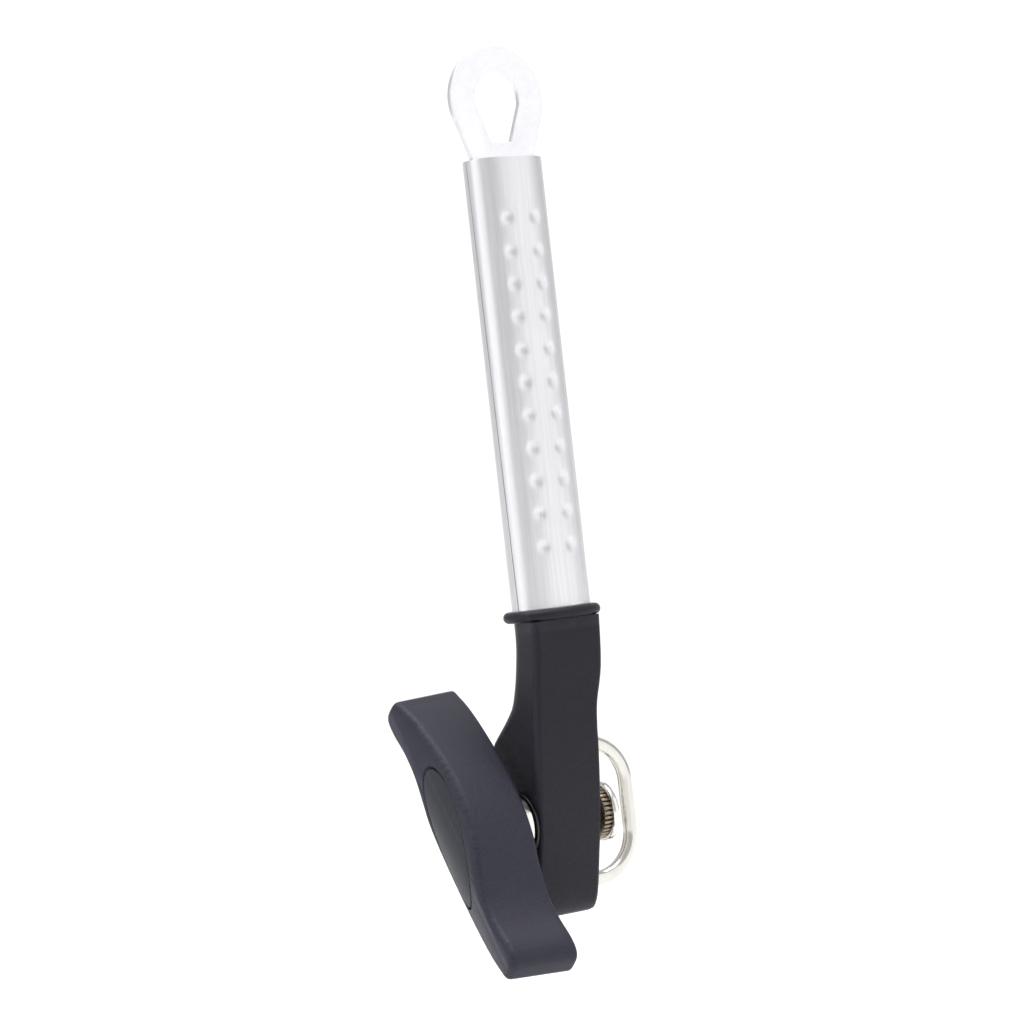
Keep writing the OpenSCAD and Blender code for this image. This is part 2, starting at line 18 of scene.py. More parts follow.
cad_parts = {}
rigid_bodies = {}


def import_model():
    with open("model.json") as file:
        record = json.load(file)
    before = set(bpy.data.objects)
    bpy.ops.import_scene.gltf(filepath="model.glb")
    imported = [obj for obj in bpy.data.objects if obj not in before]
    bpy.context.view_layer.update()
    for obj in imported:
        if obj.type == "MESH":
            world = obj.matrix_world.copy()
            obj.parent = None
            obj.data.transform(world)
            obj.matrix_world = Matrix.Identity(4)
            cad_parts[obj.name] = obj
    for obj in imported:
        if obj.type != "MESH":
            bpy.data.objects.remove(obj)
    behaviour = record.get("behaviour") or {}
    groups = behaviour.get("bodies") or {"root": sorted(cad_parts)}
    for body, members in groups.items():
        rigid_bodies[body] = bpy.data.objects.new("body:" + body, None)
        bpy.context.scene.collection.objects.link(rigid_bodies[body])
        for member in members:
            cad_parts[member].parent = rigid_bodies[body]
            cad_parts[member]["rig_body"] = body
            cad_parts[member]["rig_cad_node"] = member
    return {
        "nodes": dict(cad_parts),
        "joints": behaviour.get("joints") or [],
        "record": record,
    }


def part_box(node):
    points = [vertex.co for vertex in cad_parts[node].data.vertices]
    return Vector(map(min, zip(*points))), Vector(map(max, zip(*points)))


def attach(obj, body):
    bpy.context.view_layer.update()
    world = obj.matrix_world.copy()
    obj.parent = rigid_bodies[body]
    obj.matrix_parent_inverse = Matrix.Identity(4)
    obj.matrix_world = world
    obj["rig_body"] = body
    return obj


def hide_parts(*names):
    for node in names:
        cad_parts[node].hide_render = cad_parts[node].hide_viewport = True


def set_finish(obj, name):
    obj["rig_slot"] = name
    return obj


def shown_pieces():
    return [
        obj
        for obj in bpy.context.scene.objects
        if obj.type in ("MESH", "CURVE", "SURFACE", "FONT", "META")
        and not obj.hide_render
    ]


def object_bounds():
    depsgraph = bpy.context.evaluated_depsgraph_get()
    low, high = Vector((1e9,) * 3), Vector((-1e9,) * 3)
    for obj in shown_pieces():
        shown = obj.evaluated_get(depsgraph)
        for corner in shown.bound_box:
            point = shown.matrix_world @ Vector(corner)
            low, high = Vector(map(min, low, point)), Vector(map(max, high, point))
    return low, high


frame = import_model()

cad_box = [list(corner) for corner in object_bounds()]
print("CAD box in metres:", cad_box)

# %% [markdown]
# ## Sizes and places
#
# The script works in metres, and a maker thinks in millimetres, so one value
# turns one into the other. The main places are read from the CAD part's boxes
# and joints. If the part changes, the looks follow it.

# %% Measure the frame
MM = 0.001
joints = {joint["name"]: Vector(joint["pos_m"]) for joint in frame["joints"]}
drive_y, drive_z = joints["drive_turn"].yz
cutter_y, cutter_z = joints["cutter_spin"].yz
pivot_y, pivot_z = joints["arm_swing"].yz


def corners(node):
    """The lowest and highest corner of a CAD node."""
    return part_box(node)


handle_low, handle_high = corners("front_shell")
knob_low, knob_high = corners("knob_body")
head_low = corners("head_housing")[0]
plate_low, plate_high = corners("carrier_plate")
handle_width = handle_high.x - handle_low.x
handle_depth = corners("rear_shell")[1].y - handle_low.y
rim_z, collar_z = handle_high.z, handle_low.z
print("handle", round(handle_width / MM, 2), "x", round(handle_depth / MM, 2), "mm")

# %% [markdown]
# ## Working by hand, in code
#
# An operator in Blender acts on whatever is selected. So every piece starts with
# nothing selected, and faces, edges or points are picked by where they are.
# The place of a primitive is put into its mesh at once, because a finished
# piece has its object at the origin.

# %% Helpers for selecting and editing
MERGE = 0.002 * MM                       # points closer than this become one point
NEAR = 0.01 * MM                         # a point this close to a place lies on it
TIGHT = 0.001 * MM                       # the same, where shapes lie close together
SMOOTH_BELOW = math.radians(50)          # edges that turn less than this shade smooth


def let_go():
    """Leaves edit mode and deselects everything."""
    if bpy.context.object and bpy.context.object.mode != "OBJECT":
        bpy.ops.object.mode_set(mode="OBJECT")
    bpy.ops.object.select_all(action="DESELECT")


def take(piece):
    """Makes one piece the selected and active one."""
    let_go()
    piece.select_set(True)
    bpy.context.view_layer.objects.active = piece


def begin(add, **settings):
    """Adds a primitive, puts its place in its mesh and opens it for editing."""
    let_go()
    add(**settings)
    bpy.ops.object.transform_apply(location=True, rotation=True, scale=True)
    bpy.ops.object.mode_set(mode="EDIT")
    bpy.ops.mesh.select_mode(type="VERT")
    bpy.ops.mesh.select_all(action="SELECT")


def middle_of(part):
    """The place of a point, or the middle of an edge or a face."""
    if isinstance(part, bmesh.types.BMVert):
        return part.co.copy()
    return sum((v.co for v in part.verts), Vector()) / len(part.verts)


def pick(kind, test):
    """Selects the points, edges or faces that pass a test."""
    mesh = bpy.context.object.data
    bpy.ops.mesh.select_mode(type=kind)
    bpy.ops.mesh.select_all(action="DESELECT")
    shape = bmesh.from_edit_mesh(mesh)
    parts = {"VERT": shape.verts, "EDGE": shape.edges, "FACE": shape.faces}[kind]
    for part in [part for part in parts if test(part, middle_of(part))]:
        part.select_set(True)
    shape.select_flush_mode()
    bmesh.update_edit_mesh(mesh)


def pull(x=0.0, y=0.0, z=0.0):
    """Extrudes what is selected and moves it."""
    bpy.ops.mesh.extrude_region_move(TRANSFORM_OT_translate={"value": (x, y, z)})


def grow(x, y, z, centre):
    """Scales what is selected about a point."""
    bpy.ops.transform.resize(value=(x, y, z), center_override=centre)


def close_up(name):
    """Merges doubled points, turns the faces outwards and leaves edit mode."""
    bpy.ops.mesh.select_all(action="SELECT")
    bpy.ops.mesh.remove_doubles(threshold=MERGE)
    bpy.ops.mesh.normals_make_consistent(inside=False)
    bpy.ops.object.mode_set(mode="OBJECT")
    piece = bpy.context.object
    piece.name = name
    piece.data.name = name
    return piece


def apply(piece, kind, **settings):
    """Adds a modifier with its settings and applies it."""
    take(piece)
    step = piece.modifiers.new(kind.title(), kind)
    for setting, value in settings.items():
        setattr(step, setting, value)
    bpy.ops.object.modifier_apply(modifier=step.name)


def ease(piece, width, segments=3, corner=35):
    """Rounds the sharp edges by a width and shades the piece smooth."""
    if width:
        apply(piece, "BEVEL", width=width, segments=segments, limit_method="ANGLE",
              angle_limit=math.radians(corner), use_clamp_overlap=True)
    take(piece)
    bpy.ops.object.shade_smooth_by_angle(angle=SMOOTH_BELOW)
    apply(piece, "WEIGHTED_NORMAL", keep_sharp=True)


slots = {s["node"]: s["material_slot"] for s in frame["record"]["subparts"]}


def stand_in(piece, node):
    """Lets a piece stand for a CAD node: it rides on the same body."""
    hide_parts(node)
    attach(piece, frame["nodes"][node]["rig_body"])
    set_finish(piece, slots[node])
    print(piece.name, "for", node, "with", len(piece.data.polygons), "faces")


# %% [markdown]
# ## Turned pieces
#
# Wheels, washers, pins, bushes and screws are turned on a lathe: the work spins
# and a tool follows a profile. In Blender the same shape comes from a ring that
# is extruded along the axis and scaled to the next radius. A piece with a bore
# has a profile that comes back to its start.

# %% A lathe along X
def turned(profile, y, z, solid=False, sides=96):
    """Pulls a ring along X through the (x, radius) points of a profile."""
    x, radius = profile[0]
    begin(bpy.ops.mesh.primitive_circle_add, vertices=sides, radius=radius,
          fill_type="NGON" if solid else "NOTHING", location=(x, y, z),
          rotation=(0, math.pi / 2, 0))
    for next_x, next_radius in profile[1:]:
        pull(x=next_x - x)
        scale = next_radius / radius
        grow(1, scale, scale, (next_x, y, z))
        x, radius = next_x, next_radius


def bored(low, high, outer, bore):
    """The profile of a plain ring or tube, from its inner corner round to it."""
    return [(low, bore), (low, outer), (high, outer), (high, bore), (low, bore)]


def box_radius(node):
    """Half the height of a round CAD node that lies along X."""
    low, high = corners(node)
    return (high.z - low.z) / 2


shaft_r = box_radius("drive_shaft")
fit = 0.05 * MM
rings = {
    "bearing_bush": (shaft_r + fit, 0.25 * MM),
    "boss_washer": (shaft_r + fit, 0.12 * MM),
}
for node, (bore, edge) in rings.items():
    low, high = corners(node)
    turned(bored(low.x, high.x, box_radius(node), bore), drive_y, drive_z)
    piece = close_up("turned_" + node)
    ease(piece, edge, segments=2)
    stand_in(piece, node)

# %% [markdown]
# ## The cup behind the knob
#
# A bright pressed cup hides the spring washers between the knob and the head.
# Its outer corner is well rounded, as drawn sheet always is.

# %% Thrust cup
cup_low, cup_high = corners("thrust_cup")
cup_r = box_radius("thrust_cup")
cup_wall = 0.7 * MM
cup_round = 0.9 * MM
profile = [(cup_low.x, shaft_r + fit), (cup_low.x, cup_r - cup_round)]
profile += [(cup_low.x + cup_round * (1 - math.cos(turn)),
             cup_r - cup_round * (1 - math.sin(turn)))
            for turn in (math.radians(a) for a in (30, 60, 90))]
profile += [(cup_high.x, cup_r), (cup_high.x, cup_r - cup_wall),
            (cup_low.x + cup_wall, cup_r - cup_wall),
            (cup_low.x + cup_wall, shaft_r + fit), (cup_low.x, shaft_r + fit)]
turned(profile, drive_y, drive_z)
thrust_cup = close_up("pressed_cup")
ease(thrust_cup, 0.15 * MM, segments=2)
stand_in(thrust_cup, "thrust_cup")

# %% [markdown]
# ## Stamped and cut pieces
#
# The eye, the carrier plate, the arm, the pins and the small screws already have
# their right shape in the CAD part, but with razor-sharp edges. A copy of each
# has its loose triangles merged and its flat faces joined up, and then every
# sharp edge is eased a little, as tumbling does to a stamped part.

# %% Copies with eased edges
def copy_of(node, name):
    """A merged copy of a CAD node, open for editing."""
    let_go()
    piece = frame["nodes"][node].copy()
    piece.data = piece.data.copy()
    piece.parent = None
    piece.hide_render = piece.hide_viewport = False
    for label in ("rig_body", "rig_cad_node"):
        del piece[label]
    bpy.context.scene.collection.objects.link(piece)
    piece.name = name
    take(piece)
    bpy.ops.object.mode_set(mode="EDIT")
    bpy.ops.mesh.select_mode(type="VERT")
    bpy.ops.mesh.select_all(action="SELECT")
    bpy.ops.mesh.remove_doubles(threshold=MERGE)


def eased_copy(node, width, segments=2):
    """A copy of a CAD node with its sharp edges rounded."""
    copy_of(node, "eased_" + node)
    bpy.ops.mesh.dissolve_limited(angle_limit=math.radians(0.5))
    piece = close_up("eased_" + node)
    ease(piece, width, segments)
    stand_in(piece, node)


eased_copy("hanging_eye", 0.22 * MM, segments=3)
eased_copy("rim_plug", 0.3 * MM)
eased_copy("carrier_plate", 0.2 * MM)
eased_copy("cutter_arm", 0.25 * MM, segments=3)
for node in ("plate_screws", "pivot_pin", "cutter_axle", "pivot_clip", "cutter_clip"):
    eased_copy(node, 0.1 * MM)

# %% [markdown]
# ## The outline of a CAD node
#
# Some pieces need a clean outline to be built up from. Cutting a merged copy
# with a plane, and clearing both of its sides, leaves just its outlines as
# rings of edges. The ring that reaches furthest is the outer one, and the
# others, which are bores, are deleted. The ring is then moved and filled.

# %% Cut an outline and fill it
def outline_face(node, cut_x, x):
    """A face with the outer outline that a CAD node has at cut_x, laid at x."""
    copy_of(node, "outline")
    bpy.ops.mesh.bisect(plane_co=(cut_x, 0, 0), plane_no=(1, 0, 0),
                        clear_inner=True, clear_outer=True, threshold=TIGHT)
    bpy.ops.mesh.select_all(action="SELECT")
    bpy.ops.mesh.remove_doubles(threshold=2 * NEAR)
    shape = bmesh.from_edit_mesh(bpy.context.object.data)
    lowest = min(point.co.z for point in shape.verts)
    pick("VERT", lambda v, p: p.z < lowest + TIGHT)
    bpy.ops.mesh.select_linked()
    bpy.ops.mesh.select_all(action="INVERT")
    bpy.ops.mesh.delete(type="VERT")
    bpy.ops.mesh.select_all(action="SELECT")
    bpy.ops.transform.translate(value=(x - cut_x, 0, 0))
    bpy.ops.mesh.edge_face_add()


# %% [markdown]
# ## The steel handle
#
# The handle is two half shells of brushed sheet. The front one has two columns of
# round dimples that give the fingers hold. A squarish oval tube is drawn down
# to the collar and cut in two along the seam, which leans a little. The front
# half gets fine cross divisions, and each dimple is then pressed in with a
# soft fall-off, narrow for the dimple and wide for the way the sheet gives.

# %% The tube and its seam
squareness = 2.4
sheet = 0.8 * MM
seam_gap = 0.2 * MM
seam_lean = math.atan(1.3 * MM / (rim_z - collar_z))


def squarish(turn, width, depth):
    """A point on a squarish oval, at a turn about its middle."""
    c, s = math.cos(turn), math.sin(turn)
    return (width / 2 * math.copysign(abs(c) ** (2 / squareness), c),
            depth / 2 * math.copysign(abs(s) ** (2 / squareness), s))


def squarish_ring(width, depth, z, sides):
    """A ring of points on a squarish oval, open for editing and selected."""
    begin(bpy.ops.mesh.primitive_circle_add, vertices=sides, radius=width / 2,
          location=(0, 0, z))
    shape = bmesh.from_edit_mesh(bpy.context.object.data)
    for point in shape.verts:
        turn = math.atan2(point.co.y, point.co.x)
        point.co.x, point.co.y = squarish(turn, width, depth)
    bmesh.update_edit_mesh(bpy.context.object.data)


def half_shell(side, cuts):
    """The handle tube on one side of the seam, with cross divisions."""
    squarish_ring(handle_width, handle_depth, rim_z, 176)
    pull(z=collar_z - rim_z)
    for count in cuts:
        pick("EDGE", lambda e, p: abs(e.verts[0].co.z - e.verts[1].co.z) > 0.1 * MM)
        bpy.ops.mesh.subdivide(number_cuts=count)
    bpy.ops.mesh.select_all(action="SELECT")
    normal = Vector((0, math.cos(seam_lean), -math.sin(seam_lean)))
    spot = Vector((0, 0, rim_z)) + normal * side * seam_gap / 2
    bpy.ops.mesh.bisect(plane_co=spot, plane_no=normal, clear_inner=side > 0,
                        clear_outer=side < 0, threshold=TIGHT)


def thicken(piece):
    """Gives the sheet its thickness, inwards, and eases its edges."""
    apply(piece, "SOLIDIFY", thickness=sheet, offset=-1, use_even_offset=True)
    ease(piece, 0.16 * MM, segments=2, corner=50)


half_shell(1, cuts=[12])
rear_shell = close_up("rear_half_shell")
thicken(rear_shell)
stand_in(rear_shell, "rear_shell")

# %% [markdown]
# ## The dimples
#
# Two columns of dimples are pressed into the front shell and keep wet fingers
# from slipping. They could be painted on as bumps in the finish, but a real dent
# bends the reflections beside it too. So the sheet's own points are pushed in,
# with a fall-off that carries their neighbours along.

# %% Press the dimples
dimple_rows = 11
dimple_step = 7.94 * MM
dimple_side = 3.9 * MM
give_depth, give_reach = 0.10 * MM, 4.2 * MM
dimple_depth, dimple_reach = 0.40 * MM, 2.1 * MM
dimple_spot = 0.25 * MM                  # the points this close are pushed in
first_row = (rim_z - collar_z - (dimple_rows - 1) * dimple_step) / 2


def press(x, z, depth, reach):
    """Presses the sheet in around one place, softly out to a reach."""
    pick("VERT", lambda v, p: abs(p.x - x) < dimple_spot and abs(p.z - z) < dimple_spot
         and p.y < 0)
    bpy.ops.transform.translate(value=(0, depth, 0), use_proportional_edit=True,
                                proportional_edit_falloff="SMOOTH",
                                proportional_size=reach)


half_shell(-1, cuts=[80, 2])
for row in range(dimple_rows):
    for side in (-1, 1):
        z = rim_z - first_row - row * dimple_step
        press(side * dimple_side, z, give_depth, give_reach)
        press(side * dimple_side, z, dimple_depth, dimple_reach)
front_shell = close_up("front_half_shell")
thicken(front_shell)
stand_in(front_shell, "front_shell")

# %% [markdown]
# ## The moulded head
#
# The head is one plastic moulding: a neck that grows into a boss for the drive.
# It is drawn down as a ring with rounded corners, crisp at the front and full
# at the back. Each station takes its width and depth from the CAD head, so the
# neck, the boss and the tail keep their measured lines.

# %% Head body
def section(node, z):
    """The lowest and highest x and y where a level plane cuts a CAD node."""
    mesh = frame["nodes"][node].data
    cuts = []
    for edge in mesh.edges:
        a, b = (mesh.vertices[i].co for i in edge.vertices)
        if (a.z - z) * (b.z - z) < 0:
            cuts.append(a.lerp(b, (z - a.z) / (b.z - a.z)))
    return (min(p.x for p in cuts), max(p.x for p in cuts),
            min(p.y for p in cuts), max(p.y for p in cuts))


collar_height = 2.7 * MM
neck_z = collar_z - collar_height
corner_rounds = {
    (-1, -1): 1.7 * MM,                  # front, on the knob's side
    (1, -1): 1.6 * MM,                   # front, on the wheels' side
    (-1, 1): 6.2 * MM,                   # back, on the knob's side
    (1, 1): 1.6 * MM,                    # back, on the wheels' side
}
x0, x1, y0, y1 = section("head_housing", neck_z - 0.2 * MM)
begin(bpy.ops.mesh.primitive_plane_add, size=1, location=(0, 0, neck_z))
grow(x1 - x0, y1 - y0, 1, (0, 0, neck_z))
bpy.ops.transform.translate(value=((x0 + x1) / 2, (y0 + y1) / 2, 0))
for (side_x, side_y), rounding in corner_rounds.items():
    corner = Vector((x0 if side_x < 0 else x1, y0 if side_y < 0 else y1, neck_z))
    pick("VERT", lambda v, p: (p - corner).length < NEAR)
    bpy.ops.mesh.bevel(offset=rounding, offset_type="OFFSET", segments=8,
                       affect="VERTICES")
bpy.ops.mesh.select_all(action="SELECT")

tail = 14 * MM
station_gap = 1.6 * MM
most_stations = 38                       # more than the head needs above its tail
tail_steps = 24
stations = [neck_z - step * station_gap for step in range(1, most_stations)]
stations = [z for z in stations if z > head_low.z + tail]
tail_top = stations[-1]
for step in range(1, tail_steps + 1):
    share = math.sin(step / (tail_steps + 0.5) * math.pi / 2)
    stations.append(tail_top - (tail_top - head_low.z) * share)
neck_size = (x1 - x0, y1 - y0)
sharpen_z = -147 * MM                    # where the corner starts to sharpen
sharpen_run = 9 * MM                     # how far down it goes on
sharpened = 0.8                          # the share of its round that is then gone


def corner_share(z):
    """How round the back corner beside the knob still is, as a share of the neck's."""
    return 1 - sharpened * min(max((sharpen_z - z) / sharpen_run, 0), 1)


z = neck_z
for next_z in stations:
    a0, a1, b0, b1 = section("head_housing", next_z)
    pull(z=next_z - z)
    here = ((x0 + x1) / 2, (y0 + y1) / 2, next_z)
    grow((a1 - a0) / (x1 - x0), (b1 - b0) / (y1 - y0), 1, here)
    bpy.ops.transform.translate(value=((a0 + a1) / 2 - here[0],
                                       (b0 + b1) / 2 - here[1], 0))
    if corner_share(next_z) < corner_share(z):
        reach = 1.03 * corner_rounds[(-1, 1)] * corner_share(z)
        pick("VERT", lambda v, p: abs(p.z - next_z) < NEAR
             and p.x < a0 + reach * (a1 - a0) / neck_size[0]
             and p.y > b1 - reach * (b1 - b0) / neck_size[1])
        shrink = corner_share(next_z) / corner_share(z)
        grow(shrink, shrink, 1, (a0, b1, next_z))
        pick("FACE", lambda f, p: abs(p.z - next_z) < NEAR
             and abs(f.normal.z) > 0.99)
    x0, x1, y0, y1, z = a0, a1, b0, b1, next_z
print("head stations:", len(stations))
head = close_up("moulded_head")

# %% [markdown]
# ## Pocket and bores in the head
#
# The carrier plate lies in a pocket and the bush, the loop's legs and the pivot
# pin sit in bores. Each of these shapes is a cutter of its own, taken out of the
# head in turn with a Boolean.

# %% Cut the head
loop_low, loop_high = corners("guide_loop")
wire_r = (loop_high.y - loop_low.y) / 2
leg_places = [loop_high.z - wire_r, loop_low.z + wire_r]


def cutting_rod(radius, x, length, y, z, sides=64):
    """A rod along +X to cut a bore with."""
    begin(bpy.ops.mesh.primitive_cylinder_add, vertices=sides, radius=radius,
          depth=length, location=(x + length / 2, y, z), rotation=(0, math.pi / 2, 0))
    return close_up("cutter")


def carve(piece, cutter):
    """Takes one closed piece out of another and removes it."""
    apply(piece, "BOOLEAN", object=cutter, operation="DIFFERENCE", solver="EXACT")
    bpy.data.objects.remove(cutter)


over = 0.6 * MM
pocket_fit = 1.004                       # how much the pocket is larger than the plate
outline_face("carrier_plate", (plate_low.x + plate_high.x) / 2, plate_low.x)
pull(x=plate_high.x - plate_low.x + over)
bpy.ops.mesh.select_all(action="SELECT")
plate_middle = (plate_low + plate_high) / 2
grow(1, pocket_fit, pocket_fit, plate_middle)
carve(head, close_up("cutter"))

bush_r = box_radius("bearing_bush")
carve(head, cutting_rod(bush_r + fit, head_low.x - over, 60 * MM, drive_y, drive_z, 96))
for z in leg_places:
    carve(head, cutting_rod(wire_r + fit, loop_low.x, 30 * MM, loop_high.y - wire_r, z))
pin_low = corners("pivot_pin")[0]
pin_bore = 2.05 * MM
carve(head, cutting_rod(pin_bore, pin_low.x, 20 * MM, pivot_y, pivot_z))
ease(head, 0.35 * MM, segments=2, corner=60)
stand_in(head, "head_housing")

# %% [markdown]
# ## Collar bead
#
# Where the steel meets the plastic, the moulding swells into a round bead. It is
# a squarish ring whose sections are stacked along a half circle, with the
# tongue that fills the handle's end going up through it.

# %% Collar
bead_out = 2.2 * MM
bead_steps = 10
bead_foot = 0.45                         # the share of the bead that stays at its ends
neck_in = 1.0 * MM
tongue = 20 * MM
width, depth, z = handle_width - 2 * sheet, handle_depth - 2 * sheet, collar_z + tongue
squarish_ring(width, depth, z, 176)
bpy.ops.mesh.edge_face_add()
bead = [(collar_z, -sheet)]
for step in range(bead_steps + 1):
    turn = math.pi * (step / bead_steps - 0.5)
    bead.append((collar_z - collar_height / 2 * (1 + math.sin(turn)),
                 bead_out * (bead_foot + (1 - bead_foot) * math.cos(turn))))
bead.append((neck_z, -neck_in))
for next_z, out in bead:
    pull(z=next_z - z)
    new_width, new_depth = handle_width + 2 * out, handle_depth + 2 * out
    grow(new_width / width, new_depth / depth, 1, (0, 0, next_z))
    width, depth, z = new_width, new_depth, next_z
collar = close_up("collar_bead")
ease(collar, 0)
stand_in(collar, "head_housing")

# %% [markdown]
# ## Guide loop
#
# The loop is a stainless rod, bent twice and let into the head. It is swept as
# the bender would make it: a round section goes straight out, spins round the
# bend, runs down the bar and spins back.

# %% Bend the loop
loop_bend = 10.5 * MM
bend_x = loop_high.x - wire_r - loop_bend
loop_y = loop_high.y - wire_r
begin(bpy.ops.mesh.primitive_circle_add, vertices=40, radius=wire_r, fill_type="NGON",
      location=(loop_low.x, loop_y, leg_places[0]), rotation=(0, math.pi / 2, 0))
pull(x=bend_x - loop_low.x)
bpy.ops.mesh.spin(steps=24, angle=-math.pi / 2, axis=(0, 1, 0),
                  center=(bend_x, loop_y, leg_places[0] - loop_bend))
pull(z=leg_places[1] - leg_places[0] + 2 * loop_bend)
bpy.ops.mesh.spin(steps=24, angle=-math.pi / 2, axis=(0, 1, 0),
                  center=(bend_x, loop_y, leg_places[1] + loop_bend))
pull(x=loop_low.x - bend_x)
loop = close_up("bent_loop")
ease(loop, 0.3 * MM, segments=2)
stand_in(loop, "guide_loop")
print("loop box:", [round(v / MM, 1) for v in loop.dimensions])

# %% [markdown]
# ## Feed wheel
#
# The feed wheel grips under the rim of a can with fine pressed teeth. A ring of
# points is drawn along the axis, and every fourth pair is pulled in to make a
# flat-topped tooth with a sharp valley. A low hub is left standing on one face,
# and the edges are eased.

# %% Toothed wheel
teeth = 36
feed_low, feed_high = corners("feed_wheel")
feed_r = box_radius("feed_wheel")
tooth_depth = 0.8 * MM
hub_r = 4.4 * MM
hub_step = 0.25 * MM
seat_r = 2.32 * MM


def valley(point):
    """True for the rim points that lie in the valleys between teeth."""
    turn = math.degrees(math.atan2(point.y - drive_y, point.z - drive_z)) % 360
    return round(turn * teeth * 4 / 360) % 4 == 2


turned([(feed_low.x, seat_r), (feed_low.x, hub_r),
        (feed_low.x + hub_step, hub_r + hub_step), (feed_low.x + hub_step, feed_r),
        (feed_high.x, feed_r), (feed_high.x, seat_r), (feed_low.x, seat_r)],
       drive_y, drive_z, sides=teeth * 4)
pick("VERT", lambda v, p: math.hypot(p.y - drive_y, p.z - drive_z) > feed_r - 0.1 * MM
     and valley(p))
root = (feed_r - tooth_depth) / feed_r
grow(1, root, root, (feed_low.x, drive_y, drive_z))
feed_wheel = close_up("toothed_wheel")
ease(feed_wheel, 0.07 * MM, segments=1, corner=30)
stand_in(feed_wheel, "feed_wheel")

# %% [markdown]
# ## Flange disc
#
# The flange disc behind the teeth keeps the can's rim in place, and its edge is
# polished round. It could be a flat cylinder with a bevel, but it is turned from
# one profile, so that the rounded rim and the sunk middle come out together.

# %% Smooth disc
disc_low, disc_high = corners("flange_disc")
disc_r = box_radius("flange_disc")
rim_round = 0.75 * MM
sunk_r = 4.6 * MM
sunk = 0.2 * MM
profile = [(disc_low.x, seat_r), (disc_low.x, disc_r - rim_round)]
profile += [(disc_low.x + rim_round * (1 - math.cos(turn)),
             disc_r - rim_round * (1 - math.sin(turn)))
            for turn in (math.radians(a) for a in range(15, 91, 15))]
profile += [(disc_high.x - rim_round * (1 - math.sin(turn)),
             disc_r - rim_round * (1 - math.cos(turn)))
            for turn in (math.radians(a) for a in range(0, 91, 15))]
profile += [(disc_high.x, sunk_r), (disc_high.x - sunk, sunk_r - 0.3 * MM),
            (disc_high.x - sunk, seat_r), (disc_low.x, seat_r)]
turned(profile, drive_y, drive_z, sides=128)
flange = close_up("smooth_disc")
ease(flange, 0)
stand_in(flange, "flange_disc")

# %% [markdown]
# ## Cutting wheel
#
# The cutting wheel is hardened steel, ground from one side to an edge that rolls
# along the can's lid. A wheel that is round all over is best turned. Its profile
# is flat on one side, slopes back from the edge on the other, and ends in a low
# hub round the axle.

# %% Cutting wheel
blade_low, blade_high = corners("cutting_wheel")
blade_r = box_radius("cutting_wheel")
axle_r = 2.05 * MM
grind = 1.6 * MM
turned([(blade_low.x, axle_r), (blade_low.x, blade_r - 0.05 * MM),
        (blade_low.x + 0.06 * MM, blade_r), (blade_low.x + 0.12 * MM, blade_r - 0.03 * MM),
        (blade_high.x, blade_r - grind), (blade_high.x, axle_r + 1.4 * MM),
        (blade_high.x - 0.1 * MM, axle_r + 1.2 * MM), (blade_high.x - 0.1 * MM, axle_r),
        (blade_low.x, axle_r)], cutter_y, cutter_z, sides=128)
blade = close_up("ground_cutting_wheel")
ease(blade, 0)
stand_in(blade, "cutting_wheel")

# %% [markdown]
# ## Screw that holds the wheels
#
# A slotted screw in the shaft's end holds the wheels on. A real thread is a
# helix, but at this size it shows only as fine lines, so the screw is turned
# from a profile with a zigzag for the thread. The slot is cut with a Boolean.

# %% Screw that holds the wheels
screw_low, screw_high = corners("wheel_screw")
thread_r = 1.25 * MM
screw_r = box_radius("wheel_screw")
screw_head = 1.3 * MM
pitch = 0.5 * MM
profile = [(screw_low.x, thread_r - 0.3 * MM)]
x = screw_low.x + 0.3 * MM
while x < screw_high.x - screw_head - pitch:
    profile += [(x, thread_r), (x + pitch / 2, thread_r - 0.25 * MM)]
    x += pitch
seat_x = screw_high.x - screw_head
profile += [(seat_x, thread_r), (seat_x, screw_r - 0.1 * MM),
            (seat_x + 0.1 * MM, screw_r), (screw_high.x - 0.45 * MM, screw_r),
            (screw_high.x - 0.12 * MM, screw_r - 0.35 * MM),
            (screw_high.x, screw_r - 0.9 * MM)]
turned(profile, drive_y, drive_z, solid=True, sides=64)
wheel_screw = close_up("slotted_wheel_screw")
slot_deep, slot_wide = 0.6 * MM, 0.9 * MM
slot_long = 8 * MM                       # longer than the head, so it runs right across
slot_place = (screw_high.x, drive_y, drive_z)
begin(bpy.ops.mesh.primitive_cube_add, size=1, location=slot_place)
grow(2 * slot_deep, slot_long, slot_wide, slot_place)
carve(wheel_screw, close_up("cutter"))
ease(wheel_screw, 0.05 * MM, segments=1, corner=40)
stand_in(wheel_screw, "wheel_screw")

# %% [markdown]
# ## Return spring of the arm
#
# A small torsion spring round the pivot pulls the arm back. Its wire is drawn
# out step by step: each step extrudes the end of the wire, moves it along the
# coil and turns it, and a straight leg at each end bears on the plate and on
# the arm.

# %% Wind the spring
spring_low, spring_high = corners("arm_spring")
spring_wire = 0.7 * MM
coil_r = 3.4 * MM
coil_turns = 2
steps_per_turn = 28
coil_steps = steps_per_turn * coil_turns
lift = (spring_high.x - spring_low.x - spring_wire) / coil_steps
start_x = spring_low.x + spring_wire / 2
step_turn = 2 * math.pi * coil_turns / coil_steps
leg = 6.0 * MM
short_leg = leg * 0.3
begin(bpy.ops.mesh.primitive_circle_add, vertices=14, radius=spring_wire / 2,
      fill_type="NGON", location=(start_x, pivot_y - coil_r, pivot_z - leg))
pull(z=leg)
for step in range(coil_steps):
    bpy.ops.mesh.spin(steps=1, angle=-step_turn, axis=(1, 0, 0),
                      center=(start_x + lift * step, pivot_y, pivot_z))
    bpy.ops.transform.translate(value=(lift, 0, 0))
pull(z=short_leg)
spring = close_up("wound_spring")
ease(spring, 0)
stand_in(spring, "arm_spring")
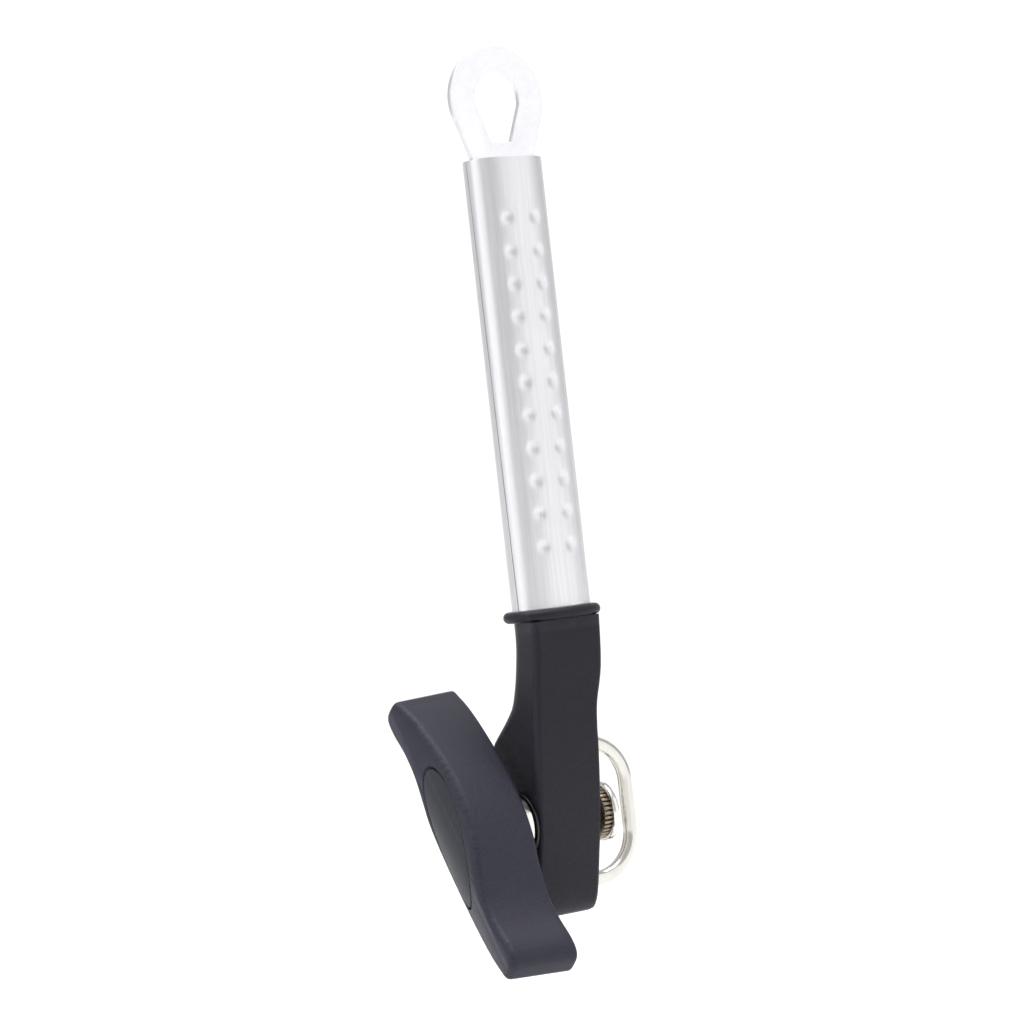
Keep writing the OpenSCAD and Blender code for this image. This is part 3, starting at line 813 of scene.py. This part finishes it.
print("spring box:", [round(v / MM, 1) for v in spring.dimensions])

# %% [markdown]
# ## The knob
#
# The knob is an S-shaped grip that is crowned across its width. Its outline comes
# from the CAD knob. The side wall is drawn out with a slight draft, the socket
# for the steel insert is cut, both rims are rounded with bevels, and the face is
# cut into narrow strips that are lifted to the crown. A recess for the oval cap
# and one for the screw's head are cut last.

# %% Knob body
knob_turn = math.radians(37)
across = Vector((0, math.cos(knob_turn), -math.sin(knob_turn)))
hub = Vector((0, drive_y, drive_z))
hub_clear = 7 * MM                       # the socket's edges lie inside this distance
knob_crown = 2.8 * MM
knob_belly = 9.8 * MM
crown_r = (knob_belly ** 2 + knob_crown ** 2) / (2 * knob_crown)
edge_x = knob_low.x + knob_crown


def crown(point):
    """How far the crowned face stands out over the knob's edge, at a point."""
    v = min(abs((point - hub).dot(across)), knob_belly)
    return math.sqrt(crown_r ** 2 - v ** 2) - (crown_r - knob_crown)


def round_rim(x, radius, segments):
    """Rounds the edges of the face that lies at x."""
    pick("EDGE", lambda e, p: abs(p.x - x) < TIGHT
         and (p - hub).length > hub_clear)
    bpy.ops.mesh.bevel(offset=radius, segments=segments, profile=0.5, affect="EDGES",
                       clamp_overlap=False)


front_round = 1.4 * MM
back_round = 0.9 * MM
draft = 0.975
pulls = 8
outline_face("knob_body", (knob_high.x + edge_x) / 2, knob_high.x)
for step in range(pulls):
    pull(x=(edge_x - knob_high.x) / pulls)
    grow(1, draft ** (1 / pulls), draft ** (1 / pulls), (0, drive_y, drive_z))
knob = close_up("crowned_knob")
socket = corners("knob_insert")
socket_size = socket[1] - socket[0]
begin(bpy.ops.mesh.primitive_cube_add, size=1, location=(socket[1].x, drive_y, drive_z))
grow(2 * socket_size.x, socket_size.y + 2 * fit, socket_size.z + 2 * fit,
     (socket[1].x, drive_y, drive_z))
carve(knob, close_up("cutter"))
take(knob)
bpy.ops.object.mode_set(mode="EDIT")
round_rim(edge_x, front_round, 6)
round_rim(knob_high.x, back_round, 4)
print("knob side wall in mm:", round((knob_high.x - edge_x) / MM, 1))

# %% [markdown]
# ## The knob's crown
#
# The knob's face bulges across its width, so that it fills the hand. One large
# face can't bend, so it is first cut into narrow strips that run along the knob.
# Each point is then lifted by the height of an arc at its distance from the
# middle line, and the side wall follows in proportion.

# %% Crown the knob's face
strip = 0.85 * MM


def crown_up(back_x, front_x):
    """Cuts the front face into strips along the knob and lifts it to the crown."""
    count = int(knob_belly / strip)
    for step in range(-count, count + 1):
        pick("FACE", lambda f, p: p.x < front_x + 0.02 * MM and abs(f.normal.x) > 0.99)
        bpy.ops.mesh.bisect(plane_co=hub + across * strip * step, plane_no=across,
                            threshold=TIGHT)
    shape = bmesh.from_edit_mesh(bpy.context.object.data)
    for point in shape.verts:
        share = min(max((back_x - point.co.x) / (back_x - front_x), 0), 1)
        point.co.x -= crown(point.co) * share
    bmesh.update_edit_mesh(bpy.context.object.data)


crown_up(knob_high.x, edge_x)
knob = close_up("crowned_knob")
cap_low, cap_high = corners("knob_cap")
groove = 1.035                           # the recess is this much larger than the cap
outline_face("knob_cap", (cap_high.x + edge_x) / 2, cap_low.x - over)
pull(x=cap_high.x - cap_low.x + over)
bpy.ops.mesh.select_all(action="SELECT")
grow(1, groove, groove, (0, drive_y, drive_z))
carve(knob, close_up("cutter"))
screw_recess = 4.0 * MM
recess_depth = 3.6 * MM
carve(knob, cutting_rod(screw_recess, cap_high.x - over, recess_depth,
                        drive_y, drive_z, sides=40))
ease(knob, 0)
stand_in(knob, "knob_body")

# %% [markdown]
# ## Oval cap
#
# The cap hides the knob's screw. It is drawn from its own outline, its rim is
# rounded a little, and it takes the same crown as the knob, so that the two
# faces run on across the groove.

# %% Cap
cap_rim = 0.25 * MM
outline_face("knob_cap", (cap_high.x + edge_x) / 2, cap_high.x)
pull(x=edge_x - cap_high.x)
round_rim(edge_x, cap_rim, 3)
crown_up(cap_high.x, edge_x)
cap = close_up("oval_cap")
ease(cap, 0)
stand_in(cap, "knob_cap")

# %% [markdown]
# ## Finishes
#
# Every finish is made of nodes. A small class wraps a socket, so that shader
# maths is written like any other maths, and one method adds every other node.
# Patterns are placed in object coordinates, in metres, so 1000 in a pattern's
# scale is about one bump per millimetre.

# %% Shader maths
class Wire:
    """A socket of a finish that can be added, multiplied and subtracted."""

    def __init__(self, finish, socket):
        self.finish, self.socket = finish, socket

    def maths(self, operation, first, second):
        return self.finish.node("ShaderNodeMath", {"operation": operation},
                                {0: first, 1: second})

    def __add__(self, other):
        return self.maths("ADD", self, other)

    __radd__ = __add__

    def __mul__(self, other):
        return self.maths("MULTIPLY", self, other)

    __rmul__ = __mul__

    def __sub__(self, other):
        return self.maths("SUBTRACT", self, other)

    def __rsub__(self, other):
        return self.maths("SUBTRACT", other, self)


class Finish:
    """A material built from nodes around one shader."""

    def __init__(self, name, **uniform):
        self.material = bpy.data.materials.new(name)
        self.material.use_nodes = True
        self.tree = self.material.node_tree
        self.shader = self.tree.nodes["Principled BSDF"]
        for socket, value in uniform.items():
            self.shader.inputs[socket.replace("_", " ")].default_value = value
        self.place = self.node("ShaderNodeTexCoord", out="Object")

    def node(self, kind, settings=None, values=None, out=0):
        """Adds a node, sets it up, feeds it and gives back one of its outputs."""
        made = self.tree.nodes.new(kind)
        for name, value in (settings or {}).items():
            setattr(made, name, value)
        for name, value in (values or {}).items():
            self.feed(made.inputs[name], value)
        return Wire(self, made.outputs[out])

    def feed(self, socket, value):
        if isinstance(value, Wire):
            self.tree.links.new(value.socket, socket)
        else:
            socket.default_value = value

    def noise(self, scale, detail=3.0, stretch=(1, 1, 1)):
        """A soft random pattern from 0 to 1, drawn out along an axis if asked."""
        place = self.node("ShaderNodeMapping",
                          values={"Vector": self.place, "Scale": stretch})
        return self.node("ShaderNodeTexNoise",
                         values={"Vector": place, "Scale": scale, "Detail": detail})

    def step(self, value, low, high):
        """Turns a value into a soft mask that rises from low to high."""
        return self.node("ShaderNodeMapRange", {"interpolation_type": "SMOOTHSTEP"},
                         {"Value": value, "From Min": low, "From Max": high})

    def blend(self, mask, first, second):
        """Mixes two colours by a mask; these are the colour sockets' numbers."""
        factor, colour_a, colour_b, result = 0, 6, 7, 2
        return self.node("ShaderNodeMix", {"data_type": "RGBA"},
                         {factor: mask, colour_a: first, colour_b: second}, out=result)

    def edges(self, low, high):
        """A mask of the outer edges, where handling wears a finish and where the plastics get
        a painted sheen.
        """
        bend = self.node("ShaderNodeNewGeometry", out="Pointiness")
        return self.step(bend, low, high)

    def done(self, colour, roughness, height, depth):
        """Feeds the shader: its colour, its roughness and a bump of a real depth."""
        self.feed(self.shader.inputs["Base Color"], colour)
        self.feed(self.shader.inputs["Roughness"], roughness)
        bump = self.node("ShaderNodeBump", values={"Height": height, "Distance": depth})
        self.feed(self.shader.inputs["Normal"], bump)
        return self.material


def tone(colour, share):
    """A colour made lighter or darker, with full opacity."""
    return tuple(min(1.0, part * share) for part in colour) + (1.0,)


# %% [markdown]
# ## Steel finishes
#
# All the bright parts are stainless or plated steel. What tells them apart is
# how they were finished: brushed along the handle, satin on the eye, polished on
# the loop and ground on the wheels. Stretched noise gives the brush lines, slow
# noise the cloudy unevenness, and the outer edges are rubbed brighter.

# %% Steel
def steel(name, colour, rough, lines, stretch, depth, clouds=40, wear=0.5):
    """Steel with brush lines, cloudy roughness and rubbed edges."""
    finish = Finish(name, Metallic=1.0)
    fine = finish.noise(lines, 4.0, stretch)
    broad = finish.noise(lines * 0.22, 2.0, stretch)
    cloud = finish.noise(clouds, 3.0)
    worn_edge_and_sheen = finish.edges(0.505, 0.56) * wear
    brushed = fine * 0.6 + broad * 0.4
    base = finish.blend(finish.step(brushed, 0.3, 0.7), tone(colour, 0.9), tone(colour, 1.04))
    base = finish.blend(cloud * 0.25, base, tone(colour, 0.93))
    base = finish.blend(worn_edge_and_sheen, base, tone(colour, 1.12))
    uneven = brushed * (rough * 0.4) + cloud * (rough * 0.15)
    roughness = rough * 0.75 + uneven - worn_edge_and_sheen * (rough * 0.3)
    return finish.done(base, roughness, brushed, depth)


ROUND = (1, 1, 1)
ALONG_Z = (1, 1, 0.012)
finishes = {
    "handle_steel": steel("brushed_handle_steel", (0.80, 0.79, 0.815), 0.43, 5200, ALONG_Z,
                          0.006 * MM),
    "eye_steel": steel("satin_eye_steel", (0.85, 0.84, 0.87), 0.36, 2600, ROUND, 0.004 * MM),
    "plate_steel": steel("stamped_plate_steel", (0.72, 0.72, 0.71), 0.36, 1800, (1, 0.05, 1),
                         0.006 * MM),
    "loop_steel": steel("polished_loop_steel", (0.76, 0.745, 0.70), 0.13, 2200, (1, 1, 0.08),
                        0.002 * MM),
    "wheel_steel": steel("toothed_wheel_steel", (0.30, 0.255, 0.2), 0.27, 3000, ROUND,
                         0.005 * MM),
    "disc_steel": steel("polished_disc_steel", (0.84, 0.82, 0.78), 0.18, 2400, ROUND,
                        0.003 * MM),
    "pin_steel": steel("turned_pin_steel", (0.70, 0.70, 0.69), 0.26, 3200, (1, 0.1, 0.1),
                       0.004 * MM),
    "screw_steel": steel("plated_screw_steel", (0.74, 0.74, 0.73), 0.24, 3400, ROUND,
                         0.004 * MM),
    "washer_steel": steel("pressed_washer_steel", (0.82, 0.81, 0.78), 0.2, 2800, ROUND,
                          0.003 * MM),
    "spring_steel": steel("spring_wire_steel", (0.52, 0.52, 0.54), 0.3, 3600, ROUND,
                          0.004 * MM),
    "bush_bronze": steel("sintered_bronze", (0.70, 0.50, 0.27), 0.42, 4200, ROUND,
                         0.012 * MM),
}
print(len(finishes), "metal finishes")

# %% [markdown]
# ## Moulded plastics
#
# The black parts are glass-filled nylon from a spark-eroded mould. That leaves a
# fine even grain that breaks the highlights up into speckles. On the outer
# edges the grain is rubbed smoother and made a little lighter, partly as wear and partly as a
# painted sheen.

# %% Plastic
def plastic(name, colour, rough, grain, depth, gloss=0.4):
    """Moulded plastic with an even grain, slow colour drift, and rubbed edges with a painted
    sheen.
    """
    finish = Finish(name, Specular_IOR_Level=gloss)
    pits = finish.noise(grain, 2.0)
    fine = finish.noise(grain * 2.7, 1.0)
    cloud = finish.noise(55, 3.0)
    worn_edge_and_sheen = finish.edges(0.51, 0.6) * finish.noise(420, 3.0)
    height = pits * 0.7 + fine * 0.3
    speckle = finish.step(height, 0.38, 0.62)
    base = finish.blend(speckle, tone(colour, 0.78), tone(colour, 1.18))
    base = finish.blend(cloud * 0.4, base, tone(colour, 0.85))
    # Lighter edges: partly wear, partly a painted sheen.
    base = finish.blend(worn_edge_and_sheen, base, tone(colour, 1.9))
    roughness = rough - 0.04 + cloud * 0.1 + speckle * 0.05 - worn_edge_and_sheen * 0.12
    return finish.done(base, roughness, height, depth)


finishes["head_plastic"] = plastic("grained_head_plastic", (0.012, 0.0115, 0.019), 0.44,
                                   2300, 0.08 * MM, 0.26)
finishes["knob_plastic"] = plastic("grained_knob_plastic", (0.020, 0.0195, 0.036), 0.44,
                                   2300, 0.08 * MM, 0.36)
finishes["cap_plastic"] = plastic("grained_cap_plastic", (0.020, 0.023, 0.031), 0.46, 2500,
                                  0.06 * MM, 0.34)
finishes["plug_plastic"] = plastic("grey_plug_plastic", (0.30, 0.30, 0.31), 0.55, 2000,
                                   0.05 * MM)
print(len(finishes), "finishes with the plastics")

# %% [markdown]
# ## Put the finishes on
#
# Each piece, and each CAD node that still shows, takes the finish of its slot.
# The washer behind the cup is the exception. It is coloured nearly black as
# painted shade, so that beside the head only the cup shows bright.

# %% Finish every piece
# Painted shade: the washer between the knob and the head is coloured nearly black.
painted_shade_washer = steel("painted_shade_washer_steel", (0.05, 0.05, 0.055), 0.4, 2800, ROUND,
                  0.004 * MM)
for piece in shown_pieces():
    slot = piece.get("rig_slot") or slots[piece["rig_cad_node"]]
    piece.data.materials.clear()
    dark = piece.name == "turned_boss_washer"
    piece.data.materials.append(painted_shade_washer if dark else finishes[slot])
    if "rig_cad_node" in piece:
        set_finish(piece, slot)

# %% [markdown]
# ## Studio
#
# The opener hangs in front of a plain pale sweep, a floor that curves up into a
# wall, so no horizon shows. It could be a bent card, and it is made like one: a
# plane's back edge is spun upwards and drawn on, and its finish is matt white.

# %% Floor and backdrop
view_turn = math.radians(31)             # how far round to the knob's side one looks
facing = Matrix.Rotation(-view_turn, 4, "Z")
floor_z = cad_box[0][2] - 25 * MM
sweep_r = 0.6
floor_back = 1.4                         # where the floor starts to curve up
floor_front = -2.5
floor_width = 7
wall = 2.0
begin(bpy.ops.mesh.primitive_plane_add, size=1, location=(0, 0, floor_z))
pick("EDGE", lambda e, p: p.y > 0.4)
bpy.ops.transform.translate(value=(0, floor_back - 0.5, 0))
pick("EDGE", lambda e, p: p.y < -0.4)
bpy.ops.transform.translate(value=(0, floor_front + 0.5, 0))
pick("EDGE", lambda e, p: p.y > floor_back - 0.1)
bpy.ops.mesh.spin(steps=24, angle=-math.pi / 2, axis=(1, 0, 0),
                  center=(0, floor_back, floor_z + sweep_r))
pull(z=wall)
bpy.ops.mesh.select_all(action="SELECT")
grow(floor_width, 1, 1, (0, 0, 0))
sweep = close_up("pale_sweep")
sweep.data.transform(facing)
bpy.ops.object.shade_smooth()
floor_finish = Finish("pale_floor")
dust = floor_finish.noise(9, 4.0)
floor_colour = floor_finish.blend(dust, (0.93, 0.93, 0.93, 1), (0.96, 0.96, 0.96, 1))
pale_floor = floor_finish.done(floor_colour, dust * 0.1 + 0.7, dust, 0.2 * MM)
sweep.data.materials.append(pale_floor)
print("sweep box:", [round(v, 2) for v in sweep.dimensions])

# %% [markdown]
# ## Soft lights
#
# Bright steel shows whatever it mirrors, so small lamps would leave hard spots on
# it. Each light here is a large rectangle, and its strength is worked out from
# how bright its face should look. Two stand at the sides and one above. The
# last one lights the wall behind the tool, and a pale world fills in the rest.

# %% Soft lights
tool_middle = Vector((0, 0, (cad_box[0][2] + cad_box[1][2]) / 2))


def softbox(name, azimuth, height, distance, width, tall, glow, target=tool_middle):
    """A large soft light; its glow is how bright its face looks, with 1 as white."""
    lamp = bpy.data.lights.new(name, "AREA")
    lamp.shape, lamp.size, lamp.size_y = "RECTANGLE", width, tall
    lamp.energy = glow * math.pi * width * tall
    box = bpy.data.objects.new(name, lamp)
    bpy.context.scene.collection.objects.link(box)
    turn = math.radians(azimuth)
    offset = (math.sin(turn) * distance, -math.cos(turn) * distance, height)
    box.location = tool_middle + Vector(offset)
    box.rotation_euler = (box.location - target).to_track_quat("Z", "Y").to_euler()
    box.visible_camera = False
    print(name, "at", [round(v, 2) for v in box.location])


away = Vector((math.sin(view_turn), math.cos(view_turn), 0))
wall_ahead = tool_middle + away * 1.6
softbox("left_softbox", -92, 0.1, 1.0, 0.9, 1.5, 0.9)
softbox("right_softbox", 34, 0.1, 1.1, 0.95, 1.5, 0.66)
softbox("top_softbox", -20, 1.2, 0.35, 1.1, 1.1, 1.1)
softbox("backdrop_light", 149, 1.5, 0.1, 1.6, 1.0, 4.6, wall_ahead)
world = bpy.data.worlds.new("pale_room")
bpy.context.scene.world = world
world.use_nodes = True
room = world.node_tree.nodes["Background"]
room.inputs["Color"].default_value = (1.0, 1.0, 1.0, 1.0)
room.inputs["Strength"].default_value = 0.55

# %% [markdown]
# ## Camera
#
# The camera stands level with the tool's middle, on the knob's side, with a long
# lens, so that the tool's lines stay nearly parallel. It could be turned towards
# a target, but its three axes are written down here, because it is also rolled
# so that the tool leans.

# %% Camera
camera_data = bpy.data.cameras.new("studio_camera")
camera = bpy.data.objects.new("studio_camera", camera_data)
bpy.context.scene.collection.objects.link(camera)
bpy.context.scene.camera = camera
camera_data.lens, camera_data.sensor_width = 98.44, 36.0
camera_away = 679 * MM
camera_aside = -6.93 * MM
camera_z = -99.8 * MM
roll = math.atan2(0.11, 0.9939)          # the tool leans by about 6 degrees
level_right = Vector((math.cos(view_turn), -math.sin(view_turn), 0))
right = level_right * math.cos(roll) - Vector((0, 0, 1)) * math.sin(roll)
up = level_right * math.sin(roll) + Vector((0, 0, 1)) * math.cos(roll)
eye = level_right * camera_aside - away * camera_away + Vector((0, 0, camera_z))
camera.matrix_world = Matrix((
    (right.x, up.x, -away.x, eye.x),
    (right.y, up.y, -away.y, eye.y),
    (right.z, up.z, -away.z, eye.z),
    (0, 0, 0, 1),
))
bpy.context.scene.view_settings.view_transform = "Standard"
print("camera roll in degrees:", round(math.degrees(roll), 1))
